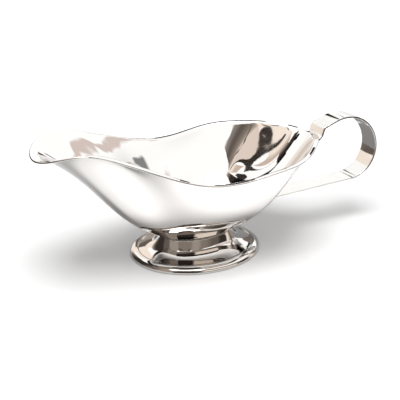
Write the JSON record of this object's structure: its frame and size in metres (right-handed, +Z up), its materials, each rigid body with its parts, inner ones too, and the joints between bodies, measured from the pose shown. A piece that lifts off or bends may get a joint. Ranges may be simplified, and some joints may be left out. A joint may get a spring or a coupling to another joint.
{
  "type": "sauce boat",
  "caption": "Footed sauce boat of polished steel: oval bowl with a raised pouring lip, flared oval pedestal foot and a bent strap handle.",
  "frame": {"origin": "on the table, under the middle of the whole boat", "axes": "+X along the boat from the pouring lip to the handle, +Y across it, away from the side that the picture shows, +Z up"},
  "size_m": [0.221, 0.0968, 0.0781],
  "materials": {
    "polished_steel": "mirror-polished stainless steel",
    "strap_steel": "bright polished stainless steel",
    "filler_metal": "smooth braze metal, lightly dulled"
  },
  "bodies": {
    "root": {"bowl": "polished_steel", "foot": "polished_steel", "handle_strap": "strap_steel", "neck_braze": "filler_metal", "handle_upper_braze": "filler_metal", "handle_lower_braze": "filler_metal"}
  },
  "joints": []
}
